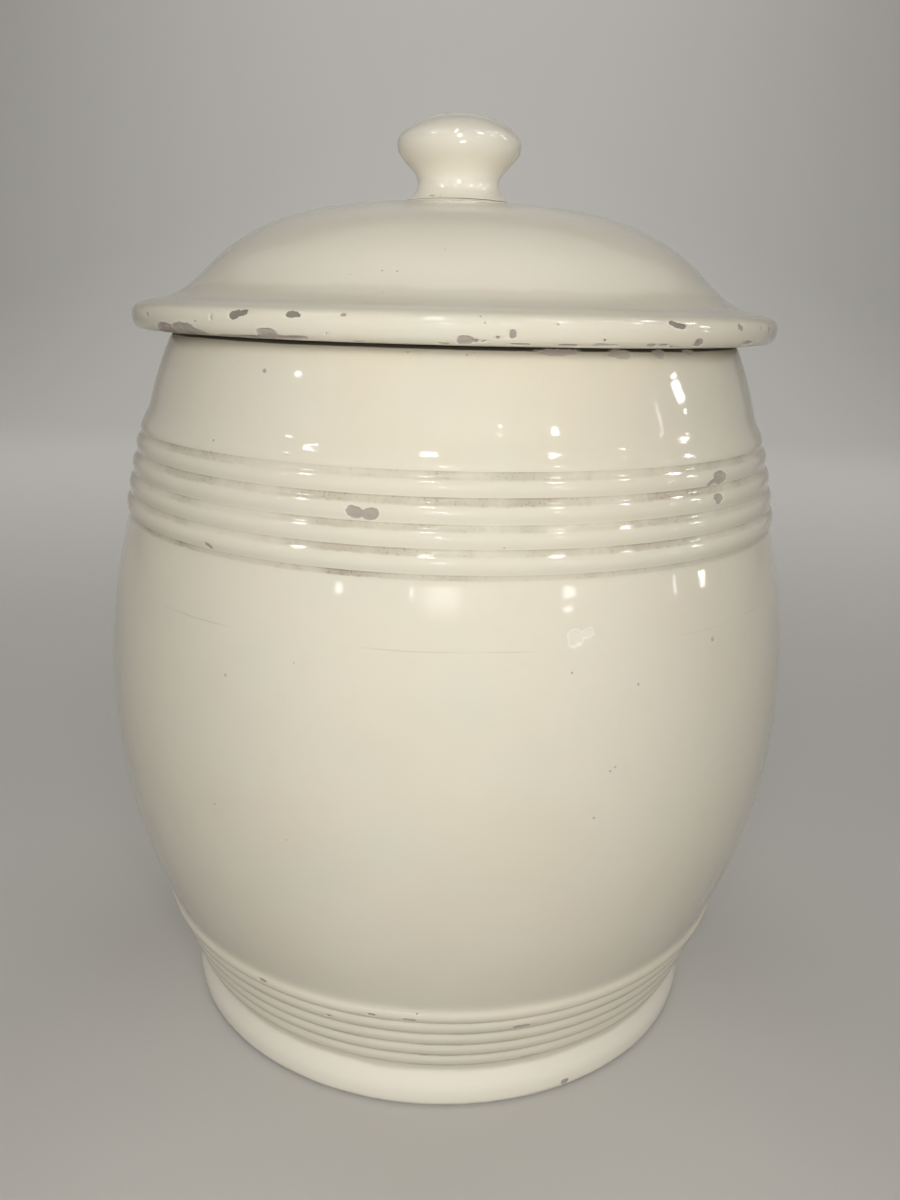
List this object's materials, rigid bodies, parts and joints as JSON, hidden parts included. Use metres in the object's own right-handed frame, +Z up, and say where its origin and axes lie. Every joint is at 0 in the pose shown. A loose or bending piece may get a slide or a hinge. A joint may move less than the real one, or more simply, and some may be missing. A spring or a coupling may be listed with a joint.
{
  "type": "lidded storage jar",
  "caption": "Barrel-shaped glazed earthenware storage jar with a beaded band and foot, and a domed lid with a turned knob that lifts off its mouth.",
  "frame": {"origin": "middle of the ring that the jar stands on, at table level", "axes": "+Z up along the jar's turning axis; X and Y are free, because every piece is turned"},
  "size_m": [0.2708, 0.2708, 0.3491],
  "materials": {
    "glazed_body": "gloss",
    "glazed_lid": "gloss",
    "glazed_knob": "gloss"
  },
  "bodies": {
    "vessel": {"jar": "glazed_body"},
    "cover": {"lid": "glazed_lid", "lid_knob": "glazed_knob"}
  },
  "joints": [
    {"name": "lid_lift", "type": "slide", "parent": "vessel", "child": "cover", "axis": [0, 0, 1], "range_m": [0, 0.15]}
  ]
}
